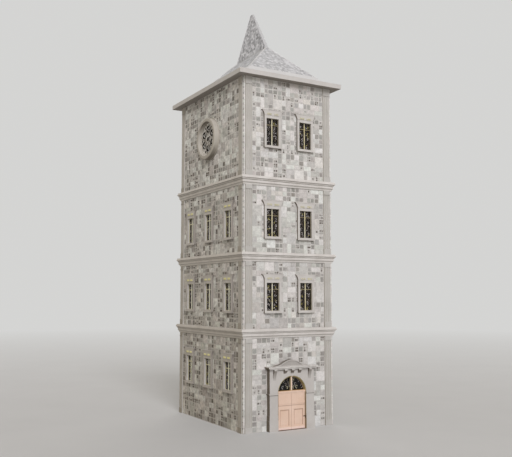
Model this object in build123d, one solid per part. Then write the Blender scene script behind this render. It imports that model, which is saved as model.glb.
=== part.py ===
from build123d import *
import os

# Tower of four storeys in stone, on a rectangular plan, with a hip roof and a thin tiled spire.
# Millimetres, Z up. The origin is on the ground at the middle of the plan.
# The front, with the door, faces -Y. The left side faces -X.

# Plan, as half sizes from the middle
WALL_X = 2950
WALL_Y = 4260
WALL_THICK = 500
ROOM_X = WALL_X - WALL_THICK
ROOM_Y = WALL_Y - WALL_THICK

# Heights of the string courses, measured at their sharp lip
LIP_HEIGHTS = [5460, 9700, 13990]
COURSE_TOP = 130
COURSE_BED = 380
EAVES_BED = 19790
EAVES_TOP = 20050

# Profile of a string course, as points out from the pilasters' face and up from the lip,
# with a cove below the last one
COURSE_PROFILE = [(118, COURSE_TOP), (167, 20), (167, -20), (110, -45), (110, -95), (65, -120), (65, -250)]
COVE_RADIUS = 150

# Corner pilasters
PILASTER_PROUD = 50
PILASTER_WIDTH = 420
PILASTER_FROM_CORNER = 100
FLUTES = 3
FLUTE_WIDTH = 90
FLUTE_DEPTH = 26
BASE_HEIGHT = 320
CAPITAL_HEIGHT = 440
NECK_DROP = 250
NECK_HEIGHT = 55
TRIM_PROUD = 18

# Windows, measured at the clear opening of the stone surround
WINDOW_WIDE = 820
WINDOW_HIGH = 1560
FRONT_PITCH = 1110
SIDE_PITCH = 2540
SILL_HEIGHTS = [2140, 6580, 10740, 15940]
FRAME_LAP = 25
FRAME_DEPTH = 70
FRAME_FACE = 45
GLASS_SETBACK = 22
GLASS_THICK = 12
GLASS_LAP = 2
POST_HALF = 32
BAR_HALF = 25
TRANSOM_DROP = 370
SURROUND_PROUD = 110
SURROUND_FACE = 140
HOOD_GAP = 160
HOOD_TOP = 490
HOOD_FLARE = 165
HOOD_SWEEP = 520
HOOD_PROUD = 125
DRIP_HIGH = 32
DRIP_PROUD = 140
TABLET_OUT = 235
TABLET_RISE = 240
TABLET_WIDE = 310
TABLET_HIGH = 110
TABLET_ROUND = 20
TABLET_PROUD = 139
SILL_DROP = 140
SILL_THICK = 70
SILL_LAP = 15
SILL_PROUD = 145

# Round window of the top storey, on both long sides
ROUND_HEIGHT = 16930
ROUND_HOLE = 1020
ROUND_OUTER = 1265
ROUND_PROUD = 340
RING_EDGE = 75
RING_MOUTH = 1060
RING_STEP = 190
RING_HOLLOW = 260
COLLAR_WIDTH = 35
COLLAR_PROUD = 60
RING_LAP = 30
TRACERY_BACK = 20
TRACERY_FACE = 120
FOIL_COUNT = 6
FOIL_RADIUS = 222
FOIL_ORBIT = 610
SPANDREL_RADIUS = 72
SPANDREL_ORBIT = 838
EYE_RADIUS = 140
ROLL_WIDTH = 40
ROLL_PROUD = 34

# Doorway and its portal
DOOR_HALF = 932
SPRING = 2040
LINTEL_BED = 3040
PORTAL_HALF = 1460
PORTAL_PROUD = 300
PORTAL_TOP = 3360
PLINTH_HIGH = 580
PLINTH_OUT = 34
DADO_TOP = 860
DADO_OUT = 17
IMPOST_HIGH = 75
IMPOST_OUT = 42
CAP_THICK = 140
CAP_HALF = 1620
CAP_PROUD = 490
CAP_STEP = 50
CAP_STEP_END = 70

# Curved gable on the portal: a round crown between two hollow tails
PEDIMENT_HALF = 1080
PEDIMENT_END = 40
PEDIMENT_RISE = 350
CROWN_HALF = 560
CROWN_FOOT = 190
PEDIMENT_PROUD = 270
PEDIMENT_RIM = 55
FIELD_DEPTH = 45

# Scrolled brackets under the portal's cap
BRACKET_DEPTH = 140
BRACKET_LIP = 80
BRACKET_BELLY = 0.34
SHORT_BRACKETS = [-470, 0, 470]
SHORT_BRACKET_DROP = 260
SHORT_BRACKET_WIDTH = 190
LONG_BRACKETS = [-1150, 1150]
LONG_BRACKET_DROP = 600
LONG_BRACKET_WIDTH = 176

# Lining of the doorway
LINING = 40
LINING_SETBACK = 25
STOP_GAP = 10
STOP_THICK = 60
THRESHOLD = 25
TRANSOM_HIGH = 120
TRANSOM_PROUD = 10
FANLIGHT_POST_HALF = 48

# Door leaves and their hinges
LEAF_THICK = 60
LEAF_FACE = WALL_Y + 215
LEAF_HALF = DOOR_HALF - LINING - 8
LEAF_TOP = SPRING - 9
LEAF_FOOT = THRESHOLD + 11
MEETING_GAP = 7
LOW_PANEL = (160, 755, 235, 1115)
HIGH_PANEL = (50, 820, 1600, 1985)
LOW_PANEL_SUNK = 30
HIGH_PANEL_SUNK = 9
FIELD_INSET = 50
FIELD_SUNK = 12
RAIL_HEIGHT = 1365
RAIL_HIGH = 46
RAIL_PROUD = 16
RAIL_END = 12
KICK_HIGH = 120
KICK_PROUD = 10
HINGE_X = LEAF_HALF - 4
HINGE_Y = LEAF_FACE + 14
HINGE_HEIGHTS = [600, 1420]
KNUCKLE_RADIUS = 9
KNUCKLE_HIGH = 56
KNUCKLE_GAP = 5
FLAP_LONG = 38
STRAP_LONG = 95
STRAP_THICK = 8

# Roof
EAVES_OUT = 496
ROOF_INSET = 550
RIDGE_HEIGHT = 22620
RIDGE_HALF_X = 110
RIDGE_HALF_Y = 1850
ROOF_SHELL = 220
SPIRE_TOP = 25350
SPIRE_TIP_X = 50
SPIRE_TIP_Y = 120

# Floors
GROUND_FLOOR = 100
FLOOR_BEARING = 100

STOREY_FEET = [0] + [lip + COURSE_TOP for lip in LIP_HEIGHTS]
STOREY_TOPS = [lip - COURSE_BED for lip in LIP_HEIGHTS] + [EAVES_BED]


# Each side of the tower is drawn on its own plane, seen from outside,
# with x to the right, y up and the extrusions running outwards
SIDES = {
    "front": Plane(origin=(0, -WALL_Y, 0), x_dir=(1, 0, 0), z_dir=(0, -1, 0)),
    "back": Plane(origin=(0, WALL_Y, 0), x_dir=(-1, 0, 0), z_dir=(0, 1, 0)),
    "left": Plane(origin=(-WALL_X, 0, 0), x_dir=(0, -1, 0), z_dir=(-1, 0, 0)),
    "right": Plane(origin=(WALL_X, 0, 0), x_dir=(0, 1, 0), z_dir=(1, 0, 0)),
}


# The plan of each side, with y running into the wall
PLANS = {side: Plane(origin=face.origin, x_dir=face.x_dir, z_dir=(0, 0, 1)) for side, face in SIDES.items()}


def panel(left, right, low, high):
    """Rectangle between two sides and two heights."""
    middle = ((left + right) / 2, (low + high) / 2)
    return Pos(*middle, 0) * Rectangle(right - left, high - low)


def raised(side, sketch, start, end):
    """Push a sketch outwards on one side, from one distance off the wall face to another."""
    return SIDES[side].offset(start) * extrude(sketch, end - start)


def save(node, *solids):
    """Write one named piece."""
    shape = solids[0] if len(solids) == 1 else Compound(children=list(solids))
    export_step(shape, f"parts/{node}.step")


def window_columns(side, storey):
    """Middles of the windows of one side and storey."""
    if side in ("left", "right"):
        return [] if storey == 3 else [-SIDE_PITCH, 0, SIDE_PITCH]
    if side == "front" and storey == 0:
        return []
    return [-FRONT_PITCH, FRONT_PITCH]


def storey_windows(storey):
    """Every window of a storey, as side and middle."""
    return [(side, middle) for side in SIDES for middle in window_columns(side, storey)]


# Walls

def window_hole(middle, storey, grow):
    """Outline of a window opening, grown on all sides."""
    sill = SILL_HEIGHTS[storey]
    half = WINDOW_WIDE / 2 + grow
    return panel(middle - half, middle + half, sill - grow, sill + WINDOW_HIGH + grow)


def wall(side, storey, left, right):
    """Stretch of wall, cut through by its windows."""
    outline = panel(left, right, STOREY_FEET[storey], STOREY_TOPS[storey])
    for middle in window_columns(side, storey):
        outline -= window_hole(middle, storey, FRAME_LAP)
    if side in ("left", "right") and storey == 3:
        outline -= Pos(0, ROUND_HEIGHT, 0) * Circle(ROUND_HOLE)
    return raised(side, outline, -WALL_THICK, 0)


def doorway_walls():
    """Ground storey of the front: a pier on each side of the doorway and the wall over it."""
    top = STOREY_TOPS[0]
    save("front_wall_left_1", raised("front", panel(-WALL_X, -DOOR_HALF, 0, top), -WALL_THICK, 0))
    save("front_wall_right_1", raised("front", panel(DOOR_HALF, WALL_X, 0, top), -WALL_THICK, 0))
    over = panel(-DOOR_HALF, DOOR_HALF, LINTEL_BED, top)
    save("front_wall_over_door", raised("front", over, -WALL_THICK, 0))


def walls():
    doorway_walls()
    for storey in range(4):
        number = storey + 1
        if storey:
            save(f"front_wall_{number}", wall("front", storey, -WALL_X, WALL_X))
        save(f"back_wall_{number}", wall("back", storey, -WALL_X, WALL_X))
        flanks = [wall(side, storey, -ROOM_Y, ROOM_Y) for side in ("left", "right")]
        save(f"side_walls_{number}", *flanks)


# String courses between the storeys

def course_section(half, lip):
    """Section across a string course, both sides at once: a lip, a bead, a fascia and a cove."""
    face = half + PILASTER_PROUD
    top = lip + COURSE_TOP
    bed = lip - COURSE_BED
    edge = Polyline((0, top), *[(face + out, lip + rise) for out, rise in COURSE_PROFILE])
    cove = RadiusArc(edge @ 1, (face, bed), -COVE_RADIUS)
    close = Polyline((face, bed), (0, bed), (0, top))
    half_face = make_face([*edge.edges(), cove, *close.edges()])
    return half_face + mirror(half_face, about=Plane.YZ)


def string_course(lip):
    """Two long sections crossed, so that the mouldings mitre at the corners."""
    reach = WALL_Y * 3
    along_y = Plane.XZ.offset(-reach / 2) * extrude(course_section(WALL_X, lip), reach)
    along_x = Plane.YZ.offset(-reach / 2) * extrude(course_section(WALL_Y, lip), reach)
    core = Pos(0, 0, lip) * Box(
        2 * (ROOM_X + FLOOR_BEARING), 2 * (ROOM_Y + FLOOR_BEARING), 4 * COURSE_BED
    )
    return (along_y & along_x) - core


# Corner pilasters

def fluted_section(left):
    """Plan of a pilaster shaft against the wall, its face cut by round flutes."""
    shaft = panel(left, left + PILASTER_WIDTH, -PILASTER_PROUD, 0)
    pitch = PILASTER_WIDTH / FLUTES
    radius = (FLUTE_WIDTH ** 2 / 4 + FLUTE_DEPTH ** 2) / (2 * FLUTE_DEPTH)
    for flute in range(FLUTES):
        middle = left + (flute + 0.5) * pitch
        shaft -= Pos(middle, FLUTE_DEPTH - PILASTER_PROUD - radius, 0) * Circle(radius)
    return shaft


def pilaster(side, left, storey):
    """Plinth, fluted shaft, neck and plain head of one pilaster."""
    foot = STOREY_FEET[storey]
    top = STOREY_TOPS[storey]
    last = storey == 3
    head = top - (CAPITAL_HEIGHT if last else NECK_DROP)
    right = left + PILASTER_WIDTH

    def block(grow, low, high):
        return raised(side, panel(left - grow, right + grow, low, high), 0, PILASTER_PROUD + grow)

    shaft_foot = foot + BASE_HEIGHT
    shaft = PLANS[side].offset(shaft_foot) * extrude(fluted_section(left), head - shaft_foot)
    base = block(TRIM_PROUD, foot, shaft_foot)
    neck = block(TRIM_PROUD, head, head + NECK_HEIGHT)
    cap = block(TRIM_PROUD / 2 if last else 0, head + NECK_HEIGHT, top)
    return base + shaft + neck + cap


def pilasters(storey):
    """The eight pilasters of one storey, two on each side."""
    found = []
    for side in SIDES:
        half = WALL_X if side in ("front", "back") else WALL_Y
        outer = half - PILASTER_FROM_CORNER
        found.append(pilaster(side, -outer, storey))
        found.append(pilaster(side, outer - PILASTER_WIDTH, storey))
    return found


# Windows

def hood_outline(middle, low, high):
    """Flared lintel: both ends sweep outwards in a hollow curve to the top."""
    half = WINDOW_WIDE / 2 + SURROUND_FACE
    wide = half + HOOD_FLARE
    right_end = RadiusArc((middle + half, low), (middle + wide, high), HOOD_SWEEP)
    left_end = RadiusArc((middle - wide, high), (middle - half, low), HOOD_SWEEP)
    top = Line(right_end @ 1, left_end @ 0)
    bottom = Line(left_end @ 1, right_end @ 0)
    return make_face([right_end, top, left_end, bottom])


def window_surround(side, middle, storey):
    """Stone architrave, sill and flared hood of one window, in one piece."""
    sill = SILL_HEIGHTS[storey]
    head = sill + WINDOW_HIGH
    half = WINDOW_WIDE / 2
    outer = half + SURROUND_FACE
    ring = panel(middle - outer, middle + outer, sill - SILL_DROP, head + HOOD_GAP)
    ring -= window_hole(middle, storey, 0)
    body = raised(side, ring, 0, SURROUND_PROUD)
    reach = outer + SILL_LAP
    ledge = panel(middle - reach, middle + reach, sill - SILL_DROP, sill - SILL_DROP + SILL_THICK)
    body += raised(side, ledge, 0, SILL_PROUD)
    body += raised(side, hood_outline(middle, head + HOOD_GAP, head + HOOD_TOP), 0, HOOD_PROUD)
    wide = outer + HOOD_FLARE
    drip = panel(middle - wide, middle + wide, head + HOOD_TOP - DRIP_HIGH, head + HOOD_TOP)
    body += raised(side, drip, 0, DRIP_PROUD)
    tablet = RectangleRounded(TABLET_WIDE, TABLET_HIGH, TABLET_ROUND)
    for across in (middle - TABLET_OUT, middle + TABLET_OUT):
        body += raised(side, Pos(across, head + TABLET_RISE, 0) * tablet, 0, TABLET_PROUD)
    return body


def window_frame(side, middle, storey):
    """Timber frame with a middle post and a high crossbar, set in the wall behind the surround."""
    border = window_hole(middle, storey, FRAME_LAP) - window_hole(middle, storey, FRAME_LAP - FRAME_FACE)
    head = SILL_HEIGHTS[storey] + WINDOW_HIGH
    half = WINDOW_WIDE / 2
    crossbar = head - TRANSOM_DROP
    post = panel(middle - POST_HALF, middle + POST_HALF, SILL_HEIGHTS[storey], head)
    bar = panel(middle - half, middle + half, crossbar - BAR_HALF, crossbar + BAR_HALF)
    body = raised(side, border + post + bar, -FRAME_DEPTH, 0)
    return body - window_glass(side, middle, storey)


def window_glass(side, middle, storey):
    """Sheet of glass held in the groove of the frame."""
    sheet = window_hole(middle, storey, GLASS_LAP)
    return raised(side, sheet, -GLASS_SETBACK - GLASS_THICK, -GLASS_SETBACK)


def windows():
    for storey in range(4):
        number = storey + 1
        places = storey_windows(storey)
        save(f"window_surrounds_{number}", *[window_surround(s, m, storey) for s, m in places])
        save(f"window_frames_{number}", *[window_frame(s, m, storey) for s, m in places])
        save(f"window_glass_{number}", *[window_glass(s, m, storey) for s, m in places])


# Round windows

def round_ring(side):
    """Heavy turned ring of stone: a collar on the wall, a drum with a rounded edge and a hollow mouth."""
    inner = ROUND_HOLE - RING_LAP
    outer = ROUND_OUTER
    collar = ROUND_OUTER + COLLAR_WIDTH
    proud = ROUND_PROUD
    step = proud - RING_STEP
    foot = [(inner, 0), (collar, 0), (collar, COLLAR_PROUD), (outer, COLLAR_PROUD)]
    rim = Polyline(*foot, (outer, proud - RING_EDGE))
    shoulder = RadiusArc((outer, proud - RING_EDGE), (outer - RING_EDGE, proud), -RING_EDGE)
    flat = Line((outer - RING_EDGE, proud), (RING_MOUTH, proud))
    hollow = RadiusArc((RING_MOUTH, proud), (inner, step), RING_HOLLOW)
    close = Line((inner, step), (inner, 0))
    section = make_face([*rim.edges(), shoulder, flat, hollow, close])
    turned = revolve(Plane.XZ * section, Axis.Z)
    return SIDES[side] * Pos(0, ROUND_HEIGHT, 0) * turned


def round_light(step, orbit, radius):
    """Round hole of the tracery, on a circle about the middle, counted in half steps of the foils."""
    return Rot(0, 0, step * 180 / FOIL_COUNT) * Pos(0, orbit, 0) * Circle(radius)


def tracery(side):
    """Wheel of stone pierced by foils, small lights near the rim and an eye, each foil edged by a roll."""
    foils = [round_light(2 * step, FOIL_ORBIT, FOIL_RADIUS) for step in range(FOIL_COUNT)]
    lights = [round_light(2 * step + 1, SPANDREL_ORBIT, SPANDREL_RADIUS) for step in range(FOIL_COUNT)]
    eye = Circle(EYE_RADIUS)
    wheel = Circle(ROUND_HOLE - RING_LAP) - foils - lights - eye
    rolls = [round_light(2 * step, FOIL_ORBIT, FOIL_RADIUS + ROLL_WIDTH) for step in range(FOIL_COUNT)]
    rolls = (Sketch() + rolls + Circle(EYE_RADIUS + 2 * ROLL_WIDTH)) - foils - eye
    centre = Pos(0, ROUND_HEIGHT, 0)
    body = raised(side, centre * wheel, -TRACERY_BACK, TRACERY_FACE)
    return body + raised(side, centre * rolls, TRACERY_FACE, TRACERY_FACE + ROLL_PROUD)


def round_windows():
    flanks = ("left", "right")
    save("round_window_rings", *[round_ring(side) for side in flanks])
    save("round_window_tracery", *[tracery(side) for side in flanks])
    pane = Pos(0, ROUND_HEIGHT, 0) * Circle(ROUND_HOLE)
    back = -TRACERY_BACK
    save("round_window_glass", *[raised(side, pane, back - GLASS_THICK, back) for side in flanks])


# Portal round the doorway

def portal_jamb(hand):
    """Pier of the portal, with a stepped plinth and an impost."""
    near = min(hand * DOOR_HALF, hand * PORTAL_HALF)
    far = max(hand * DOOR_HALF, hand * PORTAL_HALF)

    def course(grow, low, high):
        left = near - (grow if hand < 0 else 0)
        right = far + (grow if hand > 0 else 0)
        return raised("front", panel(left, right, low, high), 0, PORTAL_PROUD + grow)

    plinth = course(PLINTH_OUT, 0, PLINTH_HIGH) + course(DADO_OUT, PLINTH_HIGH, DADO_TOP)
    return plinth + course(0, DADO_TOP, SPRING) + course(IMPOST_OUT, SPRING - IMPOST_HIGH, SPRING)


def portal_arch():
    """Head of the portal, cut by the round arch."""
    block = panel(-PORTAL_HALF, PORTAL_HALF, SPRING, PORTAL_TOP)
    block -= Pos(0, SPRING, 0) * Circle(DOOR_HALF)
    return raised("front", block, 0, PORTAL_PROUD)


def portal_cap():
    """Moulded shelf on top of the portal, returned at both ends."""
    middle = PORTAL_TOP + CAP_THICK / 2
    narrow = CAP_HALF - CAP_STEP_END
    low = raised("front", panel(-narrow, narrow, PORTAL_TOP, middle), 0, CAP_PROUD - CAP_STEP)
    high = raised("front", panel(-CAP_HALF, CAP_HALF, middle, PORTAL_TOP + CAP_THICK), 0, CAP_PROUD)
    return low + high


def gable_outline():
    """Round crown whose ends run on smoothly into hollow tails."""
    foot = PORTAL_TOP + CAP_THICK
    side = foot + CROWN_FOOT
    end = foot + PEDIMENT_END
    crown = ThreePointArc((-CROWN_HALF, side), (0, foot + PEDIMENT_RISE), (CROWN_HALF, side))
    tail = TangentArc(crown @ 1, (PEDIMENT_HALF, end), tangent=crown % 1)
    other_tail = mirror(tail, about=Plane.YZ)
    half = PEDIMENT_HALF
    base = Polyline((half, end), (half, foot), (-half, foot), (-half, end))
    return make_face([crown, tail, *other_tail.edges(), *base.edges()])


def portal_pediment():
    """Low curved gable on the cap, with a sunk field inside a rim."""
    outline = gable_outline()
    field = offset(outline, amount=-PEDIMENT_RIM)
    body = raised("front", outline, 0, PEDIMENT_PROUD)
    return body - raised("front", field, PEDIMENT_PROUD - FIELD_DEPTH, PEDIMENT_PROUD)


def portal_bracket(middle, drop, width):
    """Scrolled bracket on the portal's face, under the cap."""
    face = -WALL_Y - PORTAL_PROUD
    nose = face - BRACKET_DEPTH
    foot = PORTAL_TOP - drop
    lip = PORTAL_TOP - BRACKET_LIP
    block = Polyline((face, foot), (face, PORTAL_TOP), (nose, PORTAL_TOP), (nose, lip))
    belly = (face - BRACKET_DEPTH * BRACKET_BELLY, (lip + foot) / 2)
    hollow = ThreePointArc((nose, lip), belly, (face, foot))
    section = make_face([*block.edges(), hollow])
    return Plane.YZ.offset(middle - width / 2) * extrude(section, width)


def portal():
    save("portal_jambs", portal_jamb(-1), portal_jamb(1))
    save("portal_arch", portal_arch())
    save("portal_cap", portal_cap())
    save("portal_pediment", portal_pediment())
    short = [portal_bracket(x, SHORT_BRACKET_DROP, SHORT_BRACKET_WIDTH) for x in SHORT_BRACKETS]
    long = [portal_bracket(x, LONG_BRACKET_DROP, LONG_BRACKET_WIDTH) for x in LONG_BRACKETS]
    save("portal_brackets", *short, *long)


# Door

def arched(half, low):
    """Doorway outline: straight sides and a half-round head."""
    return panel(-half, half, low, SPRING) + Pos(0, SPRING, 0) * Circle(half)


def knuckle(low):
    """Turned barrel of a hinge on the right leaf's axis."""
    return Pos(HINGE_X, -HINGE_Y, low) * extrude(Circle(KNUCKLE_RADIUS), KNUCKLE_HIGH)


def frame_hinges():
    """Lower barrels of the hinges, each with a flap on the lining."""
    pin = HINGE_Y - WALL_Y
    plate = panel(HINGE_X + KNUCKLE_RADIUS - STRAP_THICK / 2, DOOR_HALF - LINING, 0, KNUCKLE_HIGH)
    flap = raised("front", plate, pin - KNUCKLE_RADIUS / 2, pin + FLAP_LONG)
    right = [knuckle(low) + Pos(0, 0, low) * flap for low in HINGE_HEIGHTS]
    return right + [mirror(piece, about=Plane.YZ) for piece in right]


def leaf_hinges():
    """Upper barrels of the right leaf's hinges, each with a strap on the leaf's face."""
    face = LEAF_FACE - WALL_Y
    strap = raised("front", panel(HINGE_X - STRAP_LONG, HINGE_X, 0, KNUCKLE_HIGH), face, face + STRAP_THICK)
    rise = KNUCKLE_HIGH + KNUCKLE_GAP
    return [knuckle(low + rise) + Pos(0, 0, low + rise) * strap for low in HINGE_HEIGHTS]


def door_frame():
    """Arched lining with a stop behind the leaves, a threshold, a transom and a fanlight post."""
    front = PORTAL_PROUD - LINING_SETBACK
    face = LEAF_FACE - WALL_Y
    stop = face - LEAF_THICK - STOP_GAP
    back = stop - STOP_THICK
    clear = DOOR_HALF - LINING
    full = arched(DOOR_HALF, 0)
    body = raised("front", full - arched(clear, THRESHOLD), stop, front)
    body += raised("front", full - arched(clear - LINING, THRESHOLD), back, stop)
    transom = panel(-clear, clear, SPRING, SPRING + TRANSOM_HIGH)
    body += raised("front", transom, back, face + TRANSOM_PROUD)
    post = panel(-FANLIGHT_POST_HALF, FANLIGHT_POST_HALF, SPRING + TRANSOM_HIGH, SPRING + clear)
    body += raised("front", post, back + GLASS_THICK, face)
    return body + frame_hinges()


def fanlight_glass():
    """Half-round pane behind the post, inside the lining."""
    back = LEAF_FACE - WALL_Y - LEAF_THICK - STOP_GAP - STOP_THICK
    pane = arched(DOOR_HALF - 2 * LINING, 0) - panel(-DOOR_HALF, DOOR_HALF, 0, SPRING + TRANSOM_HIGH)
    return raised("front", pane, back, back + GLASS_THICK)


def door_leaf():
    """Right leaf: a low sunk panel with a raised field, a high flat one, a rail, a kick board and straps."""
    face = LEAF_FACE - WALL_Y
    left, right, low, high = LOW_PANEL
    edge = FIELD_INSET
    end = LEAF_HALF - RAIL_END
    leaf = raised("front", panel(MEETING_GAP, LEAF_HALF, LEAF_FOOT, LEAF_TOP), face - LEAF_THICK, face)
    leaf -= raised("front", panel(left, right, low, high), face - LOW_PANEL_SUNK, face)
    field = panel(left + edge, right - edge, low + edge, high - edge)
    leaf += raised("front", field, face - LOW_PANEL_SUNK, face - FIELD_SUNK)
    leaf -= raised("front", panel(*HIGH_PANEL), face - HIGH_PANEL_SUNK, face)
    rail = panel(MEETING_GAP, end, RAIL_HEIGHT, RAIL_HEIGHT + RAIL_HIGH)
    kick = panel(MEETING_GAP, end, LEAF_FOOT, LEAF_FOOT + KICK_HIGH)
    leaf += raised("front", rail, face, face + RAIL_PROUD)
    leaf += raised("front", kick, face, face + KICK_PROUD)
    return leaf + leaf_hinges()


def door():
    save("door_frame", door_frame())
    save("fanlight_glass", fanlight_glass())
    leaf = door_leaf()
    save("right_door_leaf", leaf)
    save("left_door_leaf", mirror(leaf, about=Plane.YZ))


# Floors

def floors():
    ground = panel(-ROOM_X, ROOM_X, -ROOM_Y, ROOM_Y)
    entry = LEAF_FACE - LEAF_THICK - STOP_GAP - STOP_THICK
    ground += panel(-DOOR_HALF, DOOR_HALF, -entry, -ROOM_Y)
    save("ground_floor", extrude(ground, GROUND_FLOOR))
    for index, lip in enumerate(LIP_HEIGHTS):
        low = lip - COURSE_BED
        slab = panel(-ROOM_X - FLOOR_BEARING, ROOM_X + FLOOR_BEARING,
                     -ROOM_Y - FLOOR_BEARING, ROOM_Y + FLOOR_BEARING)
        save(f"floor_{index + 2}", Pos(0, 0, low) * extrude(slab, COURSE_BED + COURSE_TOP))


# Roof

def frustum(low, low_x, low_y, high, high_x, high_y):
    """Four sloping faces between two level rectangles, given by their half sizes."""
    foot = Pos(0, 0, low) * Rectangle(2 * low_x, 2 * low_y)
    top = Pos(0, 0, high) * Rectangle(2 * high_x, 2 * high_y)
    return loft([foot, top])


def hip_roof():
    """Hollow hip roof, its short ridge cut flat to carry the spire."""
    foot_x = WALL_X + EAVES_OUT - ROOF_INSET
    foot_y = WALL_Y + EAVES_OUT - ROOF_INSET
    rise = RIDGE_HEIGHT - EAVES_TOP
    outside = frustum(EAVES_TOP, foot_x, foot_y, RIDGE_HEIGHT, RIDGE_HALF_X, RIDGE_HALF_Y)
    slope_x = (foot_x - RIDGE_HALF_X) / rise
    slope_y = (foot_y - RIDGE_HALF_Y) / rise
    inner_rise = rise - ROOF_SHELL
    inside = frustum(
        EAVES_TOP, foot_x - ROOF_SHELL, foot_y - ROOF_SHELL,
        EAVES_TOP + inner_rise,
        foot_x - ROOF_SHELL - inner_rise * slope_x,
        foot_y - ROOF_SHELL - inner_rise * slope_y,
    )
    return outside - inside


def roof():
    slab = Rectangle(2 * (WALL_X + EAVES_OUT), 2 * (WALL_Y + EAVES_OUT))
    save("eaves_slab", Pos(0, 0, EAVES_BED) * extrude(slab, EAVES_TOP - EAVES_BED))
    save("hip_roof", hip_roof())
    save("spire", frustum(RIDGE_HEIGHT, RIDGE_HALF_X, RIDGE_HALF_Y, SPIRE_TOP, SPIRE_TIP_X, SPIRE_TIP_Y))


os.makedirs("parts", exist_ok=True)
walls()
for index, lip in enumerate(LIP_HEIGHTS):
    save(f"string_course_{index + 1}", string_course(lip))
for storey in range(4):
    save(f"pilasters_{storey + 1}", *pilasters(storey))
windows()
round_windows()
portal()
door()
floors()
roof()
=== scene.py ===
import math
import random

import bpy
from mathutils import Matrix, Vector

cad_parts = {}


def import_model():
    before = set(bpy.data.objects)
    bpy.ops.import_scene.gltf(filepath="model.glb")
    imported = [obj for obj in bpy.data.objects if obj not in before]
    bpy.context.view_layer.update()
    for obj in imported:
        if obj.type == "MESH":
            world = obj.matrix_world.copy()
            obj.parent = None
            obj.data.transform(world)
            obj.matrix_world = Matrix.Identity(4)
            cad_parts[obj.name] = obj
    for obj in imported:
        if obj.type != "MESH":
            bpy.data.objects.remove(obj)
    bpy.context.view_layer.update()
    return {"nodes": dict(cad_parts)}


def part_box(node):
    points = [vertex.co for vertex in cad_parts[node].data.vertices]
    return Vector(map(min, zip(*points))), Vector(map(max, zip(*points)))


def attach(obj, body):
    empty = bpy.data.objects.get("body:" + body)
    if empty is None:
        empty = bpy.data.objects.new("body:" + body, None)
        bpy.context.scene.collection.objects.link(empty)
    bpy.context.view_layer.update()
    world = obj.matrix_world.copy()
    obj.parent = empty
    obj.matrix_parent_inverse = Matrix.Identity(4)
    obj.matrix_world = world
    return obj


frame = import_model()

# Metres, in the tower's own frame: Z up, the front faces -Y, the left side faces -X.

# Squared stones of the walls, laid on a grid of uneven lines
MODULE = 0.290
JOINT = 0.016
WIDE_JOINT = 0.048
SMALL_SQUARE = 0.112
CHAMFER = 0.006
STONE_PROUD = (0.007, 0.012)
SMALLEST_STONE = 0.04
MIDDLE_TONE = 0.62
SIDE_SPREAD = 1.35

# How far stones run under the surrounds, the portal and the round ring, whose hole is left as level bands
UNDER_SURROUND = 0.055
UNDER_PORTAL = 0.08
UNDER_RING = 0.12
RING_BANDS = 14

# Stones at the four corners, between the pilasters and the edge
CORNER_HIGH = 0.31
CORNER_GAP = 0.075
CORNER_PROUD = 0.010
PILASTER_LEAST = 0.3

# Tiles: their width and the height that shows, their thickness, and the plain rims they leave
ROOF_TILE = (0.17, 0.115)
SPIRE_TILE = (0.16, 0.12)
TILE_THICK = 0.015
RIM_UP_THE_SLOPE = 0.80
SPIRE_RIM = 0.02
HIP_WIDE = 0.075

# Window grilles and painted tablets, against the wall, the frame and the hood
FRAME_LAP = 0.025
FRAME_INSIDE = 0.020
POST_HALF = 0.032
BAR_DROP = 0.370
BAR_HALF = 0.025
GRILLE_OUT = -0.021
GRILLE_PERIOD = 0.29
GRILLE_WIDE = 0.020
GRILLE_THICK = 0.008
TABLET_SIZE = (0.31, 0.11)
TABLET_FROM_MIDDLE = 0.235
TABLET_UNDER_HOOD = 0.25
TABLET_FACE = 0.144

# Round windows: where the large holes of the tracery stand, their radius, and the face of the scrolls in them
FOIL_ORBIT = 0.610
FOIL_RADIUS = 0.222
SCROLL_OUT = 0.075

# Portal and the lining of its arch, with the distances of their faces from the tower's middle
PORTAL_OUTSIDE = 0.96
PORTAL_HEAD = 3.0
PEDIMENT_FIELD = 4.485
IMPOST_FOOT = 1.965
SPRING = 2.040
TRANSOM_TOP = 2.160
GILT_HIGH = 0.022
LINING_RADIUS = 0.892
LINING_EDGE = 0.014
LINING_FACE = 4.44
FAN_POST_HALF = 0.05
THRESHOLD_TOP = 0.03

# Door leaves: the low panel's ends across and up, the rail over it, and the lower right hinge
LEAF_FACE = 4.40
LOW_PANEL = (0.160, 0.755, 0.235, 1.115)
RAIL_HEIGHT = 1.365
RAIL_HIGH = 0.046
HINGE_SPAN = (0.588, 0.731)
HINGE_FROM = 0.775
HINGE_FACE = 4.4755

# Where the long sides and the front begin, as distances from the tower's middle, and half a window surround
FLANK_FROM = 2.6
FLANK_END = 4.1
FRONT_FROM = 4.2
SURROUND_HALF = 0.45

# How much wider a painted zone is than the piece under it
HAIR = 0.004
TOUCH = 0.001

# Painted shade on the long sides: what it leaves of a colour, at the foot and at the top
LOW_SIDE_SHADE = (0.80, 0.76, 0.68, 1)
HIGH_SIDE_SHADE = (1.0, 0.99, 0.955, 1)

# Studio
BACKDROP = (0.66, 0.66, 0.65, 1)
FLOOR_REACH = 400.0
FLOOR_FADE = (14.0, 120.0)
FILL = 0.30
FILL_COLOUR = (1.0, 0.92, 0.80, 1)
KEY = 2.0
KEY_WIDTH = 34
KEY_COLOUR = (0.985, 0.985, 1.03)
KEY_FROM = (-0.30, -0.80, 0.52)
BACK = 0.8
BACK_WIDTH = 50
BACK_COLOUR = (1.0, 0.985, 0.95)
BACK_FROM = (0.55, 0.78, 0.30)

# The photograph's camera
CAMERA_PLACE = (-21.861, -38.858, 7.440)
CAMERA_HEADING = 29.663
CAMERA_PITCH = 5.3225
FOCAL_PIXELS = 716.76
IMAGE_WIDE = 512
SENSOR_WIDE = 36.0


# Reading the frame

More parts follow.
